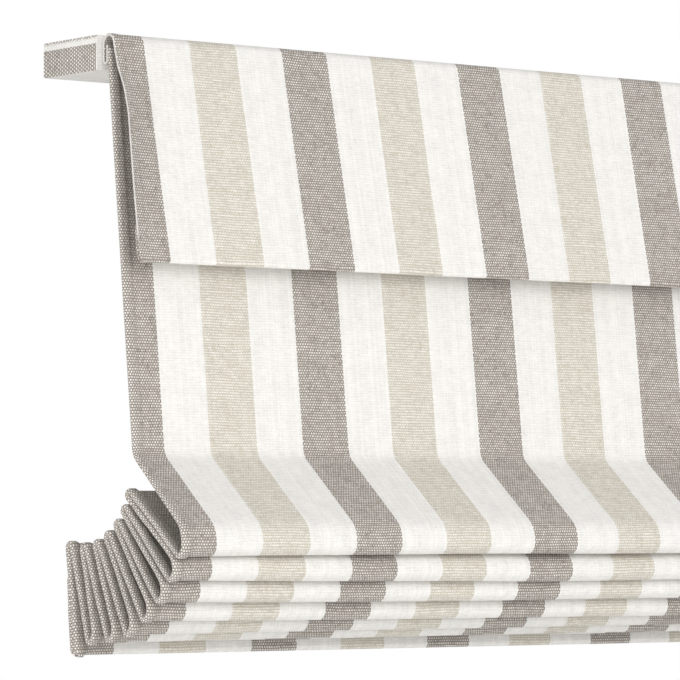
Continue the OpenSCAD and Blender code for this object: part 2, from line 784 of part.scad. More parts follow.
headrail_channel();
headrail_cover();
end_cap(-1);  // end_cap_left
end_cap(1);  // end_cap_right
wall_bracket(-1);  // wall_bracket_left
wall_bracket(1);  // wall_bracket_right
bracket_screws();
grip_tape(0);  // hook_tape
grip_tape(1);  // loop_tape
valance();
flat_panel();
fold_stack();
hem_bar();
fold_rod(0);  // fold_rod_1
fold_rod(1);  // fold_rod_2
fold_rod(2);  // fold_rod_3
fold_rod(3);  // fold_rod_4
fold_rod(4);  // fold_rod_5
fold_rod(5);  // fold_rod_6
fold_rod(6);  // fold_rod_7
tape_rings(0);  // tape_rings_left
tape_rings(1);  // tape_rings_centre
tape_rings(2);  // tape_rings_right
lift_tape(0);  // lift_tape_left
lift_tape(1);  // lift_tape_centre
lift_tape(2);  // lift_tape_right
gathered_tape(0);  // gathered_tape_left
gathered_tape(1);  // gathered_tape_centre
gathered_tape(2);  // gathered_tape_right
tape_stop(0);  // tape_stop_left
tape_stop(1);  // tape_stop_centre
tape_stop(2);  // tape_stop_right
wound_tape(0);  // wound_tape_left
wound_tape(1);  // wound_tape_centre
wound_tape(2);  // wound_tape_right
tape_spool(0);  // tape_spool_left
tape_spool(1);  // tape_spool_centre
tape_spool(2);  // tape_spool_right
spool_cradle(0);  // spool_cradle_left
spool_cradle(1);  // spool_cradle_centre
spool_cradle(2);  // spool_cradle_right
lift_shaft();
spring_motor();
motor_hub();
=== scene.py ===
import math

import bmesh
import bpy
import numpy as np
from mathutils import Matrix, Vector


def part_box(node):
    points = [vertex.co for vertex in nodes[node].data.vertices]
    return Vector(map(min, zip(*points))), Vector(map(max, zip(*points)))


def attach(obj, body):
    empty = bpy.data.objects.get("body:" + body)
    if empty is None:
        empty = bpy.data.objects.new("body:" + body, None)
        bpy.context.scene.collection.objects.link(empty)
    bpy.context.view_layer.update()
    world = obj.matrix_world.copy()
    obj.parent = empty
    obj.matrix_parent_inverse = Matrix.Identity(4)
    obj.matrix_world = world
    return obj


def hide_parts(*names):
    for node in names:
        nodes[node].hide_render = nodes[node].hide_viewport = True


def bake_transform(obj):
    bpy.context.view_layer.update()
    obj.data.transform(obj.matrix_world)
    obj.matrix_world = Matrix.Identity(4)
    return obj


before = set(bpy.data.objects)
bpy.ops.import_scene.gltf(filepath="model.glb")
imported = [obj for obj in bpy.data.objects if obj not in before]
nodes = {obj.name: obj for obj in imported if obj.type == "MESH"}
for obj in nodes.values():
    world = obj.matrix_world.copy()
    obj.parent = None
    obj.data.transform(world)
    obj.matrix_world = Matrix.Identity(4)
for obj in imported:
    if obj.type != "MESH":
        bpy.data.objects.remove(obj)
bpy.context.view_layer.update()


# Wall brackets
# Two pressed steel angles under the headrail, powder coated white.
# Each is screwed to the wall through two holes and to the headrail from below.
class Shade:
    """A socket in a finish's node tree. Sums and products of it add Math nodes."""

    def __init__(self, finish, socket):
        self.finish, self.socket = finish, socket

    def math(self, operation, *values):
        sockets = dict(enumerate(values))
        return self.finish.node("ShaderNodeMath", {"operation": operation}, sockets)

    def __add__(self, other):
        return self.math("ADD", self, other)

    def __sub__(self, other):
        return self.math("SUBTRACT", self, other)

    def __rsub__(self, other):
        return self.math("SUBTRACT", other, self)

    def __mul__(self, other):
        return self.math("MULTIPLY", self, other)

    def __truediv__(self, other):
        return self.math("DIVIDE", self, other)

    def __mod__(self, other):
        return self.math("FLOORED_MODULO", self, other)

    def __gt__(self, other):
        return self.math("GREATER_THAN", self, other)

    def __lt__(self, other):
        return self.math("LESS_THAN", self, other)

    __radd__, __rmul__ = __add__, __mul__

    def floor(self):
        return self.math("FLOOR", self)

    def fract(self):
        return self.math("FRACT", self)

    def size(self):
        return self.math("ABSOLUTE", self)

    def near(self, value, slack):
        return self.math("COMPARE", self, value, slack)

    def largest(self, other):
        return self.math("MAXIMUM", self, other)

    def eased(self, low, high):
        """0 below low, 1 above high and smooth between them; high may be the lower one."""
        sockets = {"Value": self, "From Min": low, "From Max": high}
        return self.finish.node("ShaderNodeMapRange", {"interpolation_type": "SMOOTHSTEP"}, sockets)


class Finish:
    """A procedural material: one Principled shader and the nodes that feed it."""

    def __init__(self, name, **constants):
        self.material = bpy.data.materials.new(name)
        self.material.use_nodes = True
        self.tree = self.material.node_tree
        self.shader = self.tree.nodes["Principled BSDF"]
        for socket, value in constants.items():
            self.wear(socket.replace("_", " "), value)

    def feed(self, socket, value):
        if isinstance(value, Shade):
            self.tree.links.new(value.socket, socket)
        else:
            socket.default_value = value

    def node(self, kind, settings=None, sockets=None, out=0):
        made = self.tree.nodes.new(kind)
        for key, value in (settings or {}).items():
            setattr(made, key, value)
        for key, value in (sockets or {}).items():
            self.feed(made.inputs[key], value)
        return Shade(self, made.outputs[out])

    def wear(self, socket, value):
        self.feed(self.shader.inputs[socket], value)

    def parts(self, vector):
        split = self.node("ShaderNodeSeparateXYZ", None, {0: vector})
        return [Shade(self, socket) for socket in split.socket.node.outputs]

    def place(self):
        return self.node("ShaderNodeTexCoord", out="Object")

    def stretched(self, at, scale):
        return self.node("ShaderNodeVectorMath", {"operation": "MULTIPLY"}, {0: at, 1: scale})

    def noise(self, at, scale, detail=2.0, roughness=0.5):
        sockets = {"Vector": at, "Scale": scale, "Detail": detail, "Roughness": roughness}
        return self.node("ShaderNodeTexNoise", None, sockets)

    def mixed(self, share, first, second, blend="MIX"):
        settings = {"data_type": "RGBA", "blend_type": blend}
        return self.node("ShaderNodeMix", settings, {0: share, 6: first, 7: second}, 2)

    def relief(self, height, distance, strength=1.0):
        sockets = {"Strength": strength, "Distance": distance, "Height": height}
        self.wear("Normal", self.node("ShaderNodeBump", None, sockets))


def dress(finish, *names):
    for name in names:
        nodes[name].data.materials.clear()
        nodes[name].data.materials.append(finish.material)


COAT_TONES = (0.78, 0.78, 0.765, 1), (0.83, 0.83, 0.82, 1)
powder_coat = Finish("powder_coat", IOR=1.5)
spot = powder_coat.place()
peel = powder_coat.noise(spot, 900.0, 3.0)
cloudy = powder_coat.noise(spot, 40.0)
powder_coat.wear("Base Color", powder_coat.mixed(cloudy, *COAT_TONES))
powder_coat.wear("Roughness", 0.38 + 0.16 * peel)
powder_coat.relief(peel, 0.00008)
dress(powder_coat, "wall_bracket_left", "wall_bracket_right")


# Headrail screws
# Four zinc plated screws with domed heads and a cross recess.
# They hold the brackets' arms against the headrail's floor.
ZINC_TONES = (0.52, 0.53, 0.55, 1), (0.70, 0.69, 0.66, 1)
zinc_plate = Finish("zinc_plate", Metallic=1.0)
spot = zinc_plate.place()
bloom = zinc_plate.noise(spot, 260.0, 4.0)
zinc_plate.wear("Base Color", zinc_plate.mixed(bloom, *ZINC_TONES))
zinc_plate.wear("Roughness", 0.24 + 0.22 * bloom)
zinc_plate.relief(zinc_plate.noise(spot, 1800.0), 0.00003)
dress(zinc_plate, "bracket_screws")


# Headrail channel
# A mill finish aluminium extrusion, open at the top, that carries the lift.
# Die lines run along its length and show as fine streaks.
MILL_TONES = (0.66, 0.67, 0.68, 1), (0.80, 0.81, 0.82, 1)
DIE_LINES = (3.0, 1400.0, 1400.0)
mill_aluminium = Finish("mill_aluminium", Metallic=1.0)
drawn_out = mill_aluminium.stretched(mill_aluminium.place(), DIE_LINES)
streaks = mill_aluminium.noise(drawn_out, 1.0, 4.0)
mill_aluminium.wear("Base Color", mill_aluminium.mixed(streaks, *MILL_TONES))
mill_aluminium.wear("Roughness", 0.26 + 0.22 * streaks)
mill_aluminium.relief(streaks, 0.00003)
dress(mill_aluminium, "headrail_channel")


# End caps, spool cradles, tape spools and tape stops
# Moulded white nylon with the fine spark texture of its mould.
# The caps plug the channel's ends, and the cradles carry the spools over the tape slots.
SIDES = ("left", "centre", "right")
NYLON_TONES = (0.80, 0.80, 0.765, 1), (0.87, 0.87, 0.84, 1)
moulded_nylon = Finish("moulded_nylon", IOR=1.5)
spot = moulded_nylon.place()
spark = moulded_nylon.noise(spot, 2200.0, 2.0, 0.7)
flow = moulded_nylon.noise(spot, 60.0, 3.0)
moulded_nylon.wear("Base Color", moulded_nylon.mixed(flow, *NYLON_TONES))
moulded_nylon.wear("Roughness", 0.42 + 0.16 * spark)
moulded_nylon.relief(spark, 0.00004)
dress(moulded_nylon, "end_cap_left", "end_cap_right")
for side in SIDES:
    dress(moulded_nylon, "spool_cradle_" + side, "tape_spool_" + side, "tape_stop_" + side)


# Spring motor
# A grey moulded housing in two halves, with the flat spring inside.
# Its steel hub grips the shaft and balances the weight of the cloth.
HOUSING_TONES = (0.225, 0.235, 0.245, 1), (0.275, 0.285, 0.29, 1)
grey_housing = Finish("grey_housing", IOR=1.5)
spot = grey_housing.place()
spark = grey_housing.noise(spot, 1500.0, 2.0, 0.7)
flow = grey_housing.noise(spot, 45.0, 3.0)
grey_housing.wear("Base Color", grey_housing.mixed(flow, *HOUSING_TONES))
grey_housing.wear("Roughness", 0.46 + 0.18 * spark)
grey_housing.relief(spark, 0.00006)
dress(grey_housing, "spring_motor")


# Lift shaft and motor hub
# A drawn hexagonal steel bar and a turned hub, bright with fine lines.
# The shaft turns all three spools together.
STEEL_TONES = (0.46, 0.47, 0.48, 1), (0.63, 0.64, 0.65, 1)
DRAW_LINES = (12.0, 2600.0, 2600.0)
drawn_steel = Finish("drawn_steel", Metallic=1.0)
drawn_out = drawn_steel.stretched(drawn_steel.place(), DRAW_LINES)
lines = drawn_steel.noise(drawn_out, 1.0, 3.0)
drawn_steel.wear("Base Color", drawn_steel.mixed(lines, *STEEL_TONES))
drawn_steel.wear("Roughness", 0.22 + 0.2 * lines)
drawn_steel.relief(lines, 0.00002)
dress(drawn_steel, "lift_shaft", "motor_hub")


# Headrail cover
# Pale woven cloth wrapped round the channel and its caps, glued down with soft edges.
# It is open along the channel's top and slit where the tapes come through.
WARP_PITCH, WEFT_PITCH = 0.00141, 0.00243
WEFT_WHITE = (0.86, 0.84, 0.81, 1)
WARP_WHITE = (0.85, 0.83, 0.798, 1)
WARP_GREY = (0.313, 0.273, 0.235, 1)
FLECK = (0.50, 0.47, 0.42, 1)


def yarns(finish, across, along):
    """Counts of warp and weft yarns over a cloth, with the slight waver of a loose weave."""
    fabric = finish.node("ShaderNodeCombineXYZ", None, {0: across, 1: along})
    waver = finish.noise(finish.stretched(fabric, (70.0, 9.0, 1.0)), 1.0) - 0.5
    sag = finish.noise(finish.stretched(fabric, (13.0, 24.0, 1.0)), 1.0) - 0.5
    return fabric, across / WARP_PITCH + 0.7 * waver, along / WEFT_PITCH + 1.6 * sag


def weave(finish, fabric, warp, weft, warp_colour, dots, ribs, painted_highlight, pale):
    """Plain weave of a coloured warp and a white weft that shows as rows of staggered dots.
    dots and ribs set how strongly the weft shows, the argument after them paints a highlight in white, and
    pale is 1 on the light stripes."""
    end, pick = warp.floor(), weft.floor()
    cell = finish.node("ShaderNodeCombineXYZ", None, {0: end, 1: pick})
    chance = finish.node("ShaderNodeTexWhiteNoise", {"noise_dimensions": "2D"}, {"Vector": cell})
    by_end = finish.node("ShaderNodeTexWhiteNoise", {"noise_dimensions": "1D"}, {"W": end})
    by_pick = finish.node("ShaderNodeTexWhiteNoise", {"noise_dimensions": "1D"}, {"W": pick})
    slub = finish.noise(finish.stretched(fabric, (700.0, 90.0, 1.0)), 1.0, 3.0, 0.6)
    dash = finish.noise(finish.stretched(fabric, (95.0, 480.0, 1.0)), 1.0, 3.0, 0.65).eased(0.3, 0.7)
    worn = finish.noise(fabric, 60.0, 3.0, 0.6).eased(0.35, 0.65)
    aside, ahead = warp.fract() - 0.5, weft.fract() - 0.5
    weft_over = ((end + pick) % 2.0) > 0.5
    far = aside * aside * 1.7 + ahead * ahead * (5.5 + 5.5 * by_pick)
    dot = weft_over * far.eased(1.05, 0.3) * (0.14 + 0.42 * chance + 0.42 * dash + 0.2 * worn) * dots
    rib = (ahead * ahead).eased(0.15, 0.02) * (0.1 + 0.4 * by_pick + 0.8 * dash) * (0.4 + 1.2 * chance) * ribs
    shade = 0.92 + 0.08 * by_end + 0.10 * (slub - 0.5) + 0.09 * (dash - 0.5) + 0.06 * (worn - 0.5)
    shade = shade - 0.05 * far.eased(0.55, 1.15) * (1 - weft_over) - (chance < 0.07) * (0.24 - 0.2 * pale)
    tint = finish.node("ShaderNodeCombineColor", None, {0: shade, 1: shade, 2: shade})
    warp_shade = finish.mixed(1.0, warp_colour, tint, "MULTIPLY")
    # The painted highlight mixes white in over the weave.
    colour = finish.mixed(dot.largest(rib).largest(painted_highlight), warp_shade, WEFT_WHITE)
    fleck = (finish.noise(fabric, 420.0, 1.0) > 0.74) * 0.2
    finish.wear("Base Color", finish.mixed(fleck * pale, colour, FLECK))
    yarn = dot + (1 - weft_over) * (0.62 - 1.4 * aside * aside) + 0.3 * slub
    finish.relief(yarn, 0.0003, 0.6)


CLOTH_FEEL = {"Roughness": 0.92, "Sheen_Weight": 0.1, "Sheen_Roughness": 0.5, "Specular_IOR_Level": 0.2}
cover_low, cover_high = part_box("headrail_cover")
TOP_BAND, FRONT_BAND, END_SCALE = 0.0075, 0.0008, 0.82
TOP_GREY_FROM, TOP_GREY_TO, END_SKIN = 0.004, 0.001, 0.0006
# The last of these is the strength of the painted edge highlight, none on the cover.
COVER_DOTS, COVER_RIBS, COVER_PAINTED_HIGHLIGHT = 1.45, 0.1, 0.0
GLUE_EDGE, TURNED_EDGES = 0.0004, 0.016
cover_weave = Finish("cover_weave", **CLOTH_FEEL)
spot = cover_weave.place()
x, y, z = cover_weave.parts(spot)
at_end = x.size() > cover_high.x - END_SKIN
patch = at_end * (z < cover_high.z - TOP_BAND) * (y > cover_low.y + FRONT_BAND)
tufts = cover_weave.noise(spot, 420.0, 3.0, 0.7).eased(0.25, 0.6)
# The top few millimetres of each end take grey tufts, a grey line along the end's top edge.
top_edge_grey = at_end * z.eased(cover_high.z - TOP_GREY_FROM, cover_high.z - TOP_GREY_TO) * tufts
cover_warp = cover_weave.mixed(top_edge_grey, cover_weave.mixed(patch, WARP_WHITE, WARP_GREY), WARP_GREY)
cover_across = x + at_end * (END_SCALE * z - x)
cover_along = y + z + at_end * ((END_SCALE - 1) * y - z)
cover_yarns = yarns(cover_weave, cover_across, cover_along)
weave(cover_weave, *cover_yarns, cover_warp, COVER_DOTS, COVER_RIBS, COVER_PAINTED_HIGHLIGHT, 1 - patch)


def softened(source, name, width):
    """A copy of a solid with merged corners and rounded edges."""
    merge_within, flat_angle, corner_angle, shortest = 1e-6, math.radians(1), math.radians(60), 0.02
    mesh = nodes[source].data.copy()
    shell = bmesh.new()
    shell.from_mesh(mesh)
    bmesh.ops.remove_doubles(shell, verts=shell.verts, dist=merge_within)
    bmesh.ops.dissolve_limit(shell, angle_limit=flat_angle, verts=shell.verts, edges=shell.edges)
    sharp = [e for e in shell.edges if e.calc_face_angle(0) > corner_angle and e.calc_length() > shortest]
    bmesh.ops.bevel(
        shell, geom=sharp, offset=width, segments=3, profile=0.5, affect="EDGES", clamp_overlap=True
    )
    shell.to_mesh(mesh)
    shell.free()
    mesh.materials.clear()
    piece = bpy.data.objects.new(name, mesh)
    bpy.context.scene.collection.objects.link(piece)
    mesh.shade_smooth()
    mesh.set_sharp_from_angle(angle=math.radians(50))
    return piece


cover = softened("headrail_cover", "wrapped_cover", GLUE_EDGE)
cover.data.materials.append(cover_weave.material)
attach(cover, "headrail")
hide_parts("headrail_cover")


# Hook tape and loop tape
# Two woven nylon tapes with a bristly and a looped pile, pressed together.
# The hook tape is glued to the headrail's front, and the loop tape is sewn to the valance's back.
def headed(a, b):
    """Direction of the straight run from pin a to pin b; a pin is (y, z, radius, side)."""
    dy, dz = b[0] - a[0], b[1] - a[1]
    return math.atan2(dz, dy) - math.asin((b[3] * b[2] - a[3] * a[2]) / math.hypot(dy, dz))


def along(angle):
    return np.array((math.cos(angle), math.sin(angle)))


def across(angle):
    return np.array((-math.sin(angle), math.cos(angle)))


def run_round(pins, longest, widest=math.radians(12)):
    """Middle line of a sheet pulled round pins: points, directions across it and length so far."""
    heads = [headed(a, b) for a, b in zip(pins, pins[1:])]
    spots, normals = [], []
    for i, (y, z, radius, side) in enumerate(pins):
        before, after = heads[max(i - 1, 0)], heads[min(i, len(heads) - 1)]
        if side == 0:
            turns = [before + math.remainder(after - before, math.tau) / 2]
        else:
            turn = side * ((side * (after - before)) % math.tau)
            steps = math.ceil(abs(turn) / widest)
            turns = [before + turn * step / max(steps, 1) for step in range(steps + 1)]
        spots += [np.array((y, z)) - side * radius * across(angle) for angle in turns]
        normals += [across(angle) for angle in turns]
    length = np.concatenate(([0.0], np.cumsum(np.linalg.norm(np.diff(spots, axis=0), axis=1))))
    rows = [length[:1]]
    for a, b in zip(length, length[1:]):
        rows.append(np.linspace(a, b, max(1, math.ceil((b - a) / longest)) + 1)[1:])
    rows = np.concatenate(rows)
    spots, normals = (
        np.stack([np.interp(rows, length, np.array(part)[:, i]) for i in (0, 1)], axis=1)
        for part in (spots, normals)
    )
    return spots, normals, rows


def sheet_mesh(name, line, columns, half, shift=None, drift=0.0):
    """Closed cloth along a middle line: columns are places along X, half the half thickness at each.
    Its "cut" holds the place across and along the flat cloth, and the distance from the side edge."""
    spots, normals, length = line
    rows, count = len(spots), len(columns)
    middle = np.zeros((rows, count, 3))
    middle[:, :, 0] = columns
    middle[:, :, 1:] = spots[:, None, :]
    if shift is not None:
        middle += shift
    half = np.broadcast_to(half, (rows, count))
    lean = np.zeros((rows, count, 3))
    lean[:, :, 1:] = normals[:, None, :] * half[:, :, None]
    front, back = middle - lean, middle + lean
    ring = np.concatenate((front, back[:, -2:0:-1]), axis=1)
    around = ring.shape[1]
    bend = np.concatenate(([0.0], np.cumsum(np.hypot(np.diff(columns), np.diff(half.mean(axis=0))))))
    bend += (columns[-1] - columns[0] - bend[-1]) / 2
    cut = np.zeros((rows, around, 3))
    cut[:, :, 0] = np.concatenate((bend, bend[-2:0:-1])) - np.broadcast_to(drift, rows)[:, None]
    cut[:, :, 1] = length[:, None]
    inset = np.minimum(columns - columns[0], columns[-1] - columns)
    cut[:, :, 2] = np.concatenate((inset, inset[-2:0:-1]))
    faces = []
    for row in range(rows - 1):
        for k in range(around):
            a, b = row * around + k, row * around + (k + 1) % around
            faces.append((a, b, b + around, a + around))
    for row in (0, rows - 1):
        base = row * around
        for k in range(count - 1):
            lip = [k, k + 1, (around - k - 1) % around, (around - k) % around]
            faces.append([base + i for i in dict.fromkeys(lip)])
    mesh = bpy.data.meshes.new(name)
    mesh.from_pydata(ring.reshape(-1, 3).tolist(), [], faces)
    mesh.attributes.new("cut", "FLOAT_VECTOR", "POINT").data.foreach_set("vector", cut.ravel())
    body = bmesh.new()
    body.from_mesh(mesh)
    bmesh.ops.recalc_face_normals(body, faces=body.faces)
    body.to_mesh(mesh)
    body.free()
    mesh.shade_smooth()
    mesh.set_sharp_from_angle(angle=math.radians(60))
    piece = bpy.data.objects.new(name, mesh)
    bpy.context.scene.collection.objects.link(piece)
    return piece, front, back


def pile_finish(name, dark, light, grain):
    finish = Finish(name, Roughness=0.85, Sheen_Weight=0.2)
    spot = finish.place()
    tuft = finish.noise(spot, grain, 2.0, 0.7)
    finish.wear("Base Color", finish.mixed(tuft, dark, light))
    finish.relief(tuft, 0.0006)
    return finish


bristle = pile_finish("bristle_pile", (0.66, 0.65, 0.62, 1), (0.84, 0.83, 0.80, 1), 1100.0)
looped = pile_finish("looped_pile", (0.70, 0.69, 0.66, 1), (0.86, 0.85, 0.82, 1), 700.0)
PILE_ROW, PILE_ROOM, PILE_COLUMNS = 0.0015, 0.0002, 200
SELVEDGE, SELVEDGE_IN = 0.0003, 0.002
for source, name, finish, fuzz in (
    ("hook_tape", "hook_strip", bristle, 0.00006), ("loop_tape", "loop_strip", looped, 0.00012)
):
    low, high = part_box(source)
    strip_y = (low.y + high.y) / 2
    line = run_round([(strip_y, high.z, 0, 0), (strip_y, low.z, 0, 0)], PILE_ROW)
    inner_x = np.linspace(low.x + SELVEDGE_IN, high.x - SELVEDGE_IN, PILE_COLUMNS)
    strip_x = np.concatenate(([low.x, low.x + SELVEDGE], inner_x, [high.x - SELVEDGE, high.x]))
    nap = (high.y - low.y) / 2 - PILE_ROOM + np.sin(np.arange(len(strip_x)) * 2.2) * fuzz
    nap[[0, -1]] = SELVEDGE
    strip, _, _ = sheet_mesh(name, line, strip_x, nap)
    strip.data.materials.append(finish.material)
    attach(strip, "headrail")
    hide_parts(source)


# Valance
# One hemmed length of the striped cloth that hides the headrail.
# It loops behind the headrail's front edge, rolls softly over it and hangs with a turned hem.
CLOTH_WIDE, CLOTH_HALF, PLY_GAP = 0.838, 0.0008, 0.0006
STRIPE, EDGE_STRIPE = 0.052, 0.029
WARP_BEIGE = (0.592, 0.543, 0.446, 1)


def striped_linen(name, highlight_line_share, edge_highlight_dots):
    """The striped cloth, with a painted highlight along its side edges: a pale line down to the hem, or
    stronger white dots there.
    """
    highlight_line_in, highlight_dots_in, hem_from = (0.0011, 0.0004), (0.0045, 0.0015), (0.255, 0.235)
    finish = Finish(name, **CLOTH_FEEL)
    place = finish.node("ShaderNodeAttribute", {"attribute_name": "cut"}, out="Vector")
    u, v, edge = finish.parts(place)
    fabric, warp, weft = yarns(finish, u, v)
    order = (((warp.floor() + 0.5) * WARP_PITCH - EDGE_STRIPE) / STRIPE).floor() % 4.0
    beige, grey = order.near(1.0, 0.2), order.near(3.0, 0.2)
    colour = finish.mixed(grey, finish.mixed(beige, WARP_WHITE, WARP_BEIGE), WARP_GREY)
    # Painted highlight: stronger white dots and a pale line along the side edges, where the ply edges face
    # the side light.
    dots = (1.15 - 0.1 * beige) * (1 + edge_highlight_dots * edge.eased(*highlight_dots_in))
    line = highlight_line_share * edge.eased(*highlight_line_in) * v.eased(*hem_from)
    weave(finish, fabric, warp, weft, colour, dots, 0.1 + 0.42 * beige, line, 1 - grey)
    return finish


# The valance's side edges get the painted pale highlight line.
valance_linen = striped_linen("valance_linen", 0.65, 0.0)
EDGE_STEPS = np.array((0, 0.0004, 0.001, 0.0018, 0.0025, 0.004, 0.006, 0.008, 0.0095, 0.0115, 0.014))


def across_cloth(pitch):
    """Places along X from one side hem to the other, close together at the edges."""
    margin = EDGE_STEPS[-1]
    inner = np.linspace(0, CLOTH_WIDE - 2 * margin, round(CLOTH_WIDE / pitch))[1:-1] + margin
    return np.concatenate((EDGE_STEPS, inner, CLOTH_WIDE - EDGE_STEPS[::-1])) - CLOTH_WIDE / 2


def hemmed(columns, bead):
    """Half thickness over the width: a rounded side hem that thins to a single cloth."""
    hem_wide, hem_fall = 0.008, 0.0035
    edge = CLOTH_WIDE / 2 - np.abs(columns)
    round_off = bead * np.sqrt(np.clip(1 - (1 - np.clip(edge / bead, 0, 1)) ** 2, 0, 1))
    fall = np.clip((edge - hem_wide) / hem_fall, 0, 1)
    fall = fall * fall * (3 - 2 * fall)
    return round_off * (1 - fall) + CLOTH_HALF * fall


VALANCE_TURN_R, VALANCE_HEM_UP, VALANCE_BEAD = 0.002, 0.03, 0.0013
LOOP_END, LOOP_PIN = (-0.1012, 0.048, 0, 0), (-0.0983, 0.0347, 0.0029, 1)
ROLL_PIN, FOOT_PIN = (-0.10365, 0.04895, 0.00825, 1), (-0.1519, -0.1482, VALANCE_TURN_R, 1)
fall_angle = headed(ROLL_PIN, FOOT_PIN)
hem_up = np.array(FOOT_PIN[:2]) + (2 * CLOTH_HALF + PLY_GAP - VALANCE_TURN_R) * across(fall_angle)
hem_up -= VALANCE_HEM_UP * along(fall_angle)
valance_pins = [LOOP_END, LOOP_PIN, ROLL_PIN, FOOT_PIN, (*hem_up, 0, 0)]
valance_line = run_round(valance_pins, 0.008, math.radians(10))
valance_x = across_cloth(0.02)
valance_half = hemmed(valance_x, VALANCE_BEAD)
valance_z = valance_line[0][:, 1]
CURL_AT = (-0.16, -0.151, -0.077, -0.052, -0.016, 0.008, 0.027, 0.049)
CURL_BY = (0.0, 0.0005, 0.0055, 0.0075, 0.0105, 0.0085, 0.002, 0.0)
CURL_WIDE, ROLL_LONG, ROLL_EASE, DROP_TOP, DROP_LONG = 0.03, 0.055, 0.02, 0.03, 0.17
from_edge = CLOTH_WIDE / 2 - np.abs(valance_x)
hanging = np.clip((valance_line[2] - ROLL_LONG) / ROLL_EASE, 0, 1)
curl = np.interp(valance_z, CURL_AT, CURL_BY) * hanging
reach = np.clip(1 - from_edge / CURL_WIDE, 0, 1) ** 2
ripple = 0.0009 * np.sin(valance_x * 21 + 0.6) + 0.0006 * np.sin(valance_x * 47 + 2.0)
drop = np.clip((DROP_TOP - valance_z) / DROP_LONG, 0, 1) * hanging
valance_shift = np.zeros((len(curl), len(valance_x), 3))
valance_shift[:, :, 1] = -curl[:, None] * reach[None, :] - (drop * (1.6 - drop))[:, None] * ripple[None, :]


def round_corners(shift, columns, height, radius):
    """Draws the side edges in over the lowest part of a hem, so that its corners are round."""
    drawn_in = 0.016
    from_edge = CLOTH_WIDE / 2 - np.abs(columns)
    rise = np.clip(radius - height, 0, radius)
    inset = radius - np.sqrt(radius * radius - rise * rise)
    shift[:, :, 0] -= np.sign(columns) * inset[:, None] * np.clip(1 - from_edge / drawn_in, 0, 1)


round_corners(valance_shift, valance_x, valance_z - valance_z.min(), 0.006)
valance_drift = np.interp(valance_z, (-0.15, 0.03), (0.0044, 0.0031))
valance, valance_front, _ = sheet_mesh(
    "striped_valance", valance_line, valance_x, valance_half, valance_shift, valance_drift
)
valance.data.materials.append(valance_linen.material)
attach(valance, "headrail")
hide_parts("valance")


# Main cloth
# One length of the striped cloth: a flat panel above, then seven folds and a turned bottom hem.
# Side hems are turned to the back, and each rear fold is sewn round a rod.
# Pairs of sizes are those of the first and the last fold. A slope is in degrees:
# a step's is below the level, and a leg's is from the upright.
PANEL_TOP, PANEL_END, PANEL_LEAN = (-0.1031, 0.04495), np.array((-0.143769, -0.312)), math.radians(-96.5)
FOLDS, TIP_R, LIP_R, LIP_TUCK, ROD_R = 7, 0.0026, 0.009, 0.005, 0.0033
LIP_RISE = LIP_R - TIP_R + PLY_GAP
ELBOW_R, ELBOW_DOWN = 0.016, 0.005
FIRST_TIP, STEPS, STEP_SLOPES = np.array((0.0785, 0.101)), (0.0254, 0.0315), (58, 3)
LEGS, LEG_SLOPES = (0.0965, 0.0905), (58, 24)
FIRST_KNEE, KNEE = (0.024, 0.003), (0.014, 0.001)
FLAP, FLAP_LEAN, HEM_R, HEM_UP = 0.0935, math.radians(-99.0), 0.0035, 0.066


def between(pair, share):
    return pair[0] + (pair[1] - pair[0]) * share


elbow = PANEL_END - ELBOW_R * across(PANEL_LEAN) + ELBOW_DOWN * along(PANEL_LEAN)
cloth_pins = [(*PANEL_TOP, 0, 0), (*elbow, ELBOW_R, -1)]
tip = PANEL_END - FIRST_TIP
rods, leg_angles = [], []
for k in range(FOLDS):
    if k:
        share = (k - 1) / (FOLDS - 2)
        tip = tip + between(STEPS, share) * along(-math.radians(between(STEP_SLOPES, share)))
    corner = tip + (TIP_R + CLOTH_HALF)
    leg = math.radians(90 - between(LEG_SLOPES, k / (FOLDS - 1)))
    rod = corner + between(LEGS, k / (FOLDS - 1)) * along(leg)
    knee_r, straight = KNEE if k else FIRST_KNEE
    knee = corner + np.array((knee_r - TIP_R, LIP_RISE + straight))
    lip = corner + np.array((LIP_R - TIP_R, LIP_RISE))
    foot = corner + np.array((LIP_TUCK, 0))
    cloth_pins += [(*knee, knee_r, 1), (*lip, LIP_R, 1), (*foot, TIP_R, 1), (*rod, ROD_R, -1)]
    rods.append(rod)
    leg_angles.append(leg)
hem_turn = rod + (ROD_R + HEM_R) * across(FLAP_LEAN) + FLAP * along(FLAP_LEAN)
hem_end = hem_turn + (2 * CLOTH_HALF + PLY_GAP - HEM_R) * across(FLAP_LEAN) - HEM_UP * along(FLAP_LEAN)
cloth_pins += [(*hem_turn, HEM_R, 1), (*hem_end, 0, 0)]

cloth_line = run_round(cloth_pins, 0.012)
cloth_run, cloth_z = cloth_line[2], cloth_line[0][:, 1]
cloth_x = across_cloth(0.03)


def lengths_at(pins):
    """Length of cloth from its top edge to the place nearest to each pin."""
    return [cloth_run[np.argmin(np.linalg.norm(cloth_line[0] - pin[:2], axis=1))] for pin in pins]


feet_at, rods_at = lengths_at(cloth_pins[4:-2:4]), lengths_at(cloth_pins[5:-2:4])
turns_at = np.stack((feet_at, rods_at), axis=1).ravel()
sway = np.interp(cloth_run, np.append(0.0, turns_at), np.append(0.0, np.tile((1.0, 0.0), FOLDS)))
fold_of = np.searchsorted(rods_at, cloth_run)

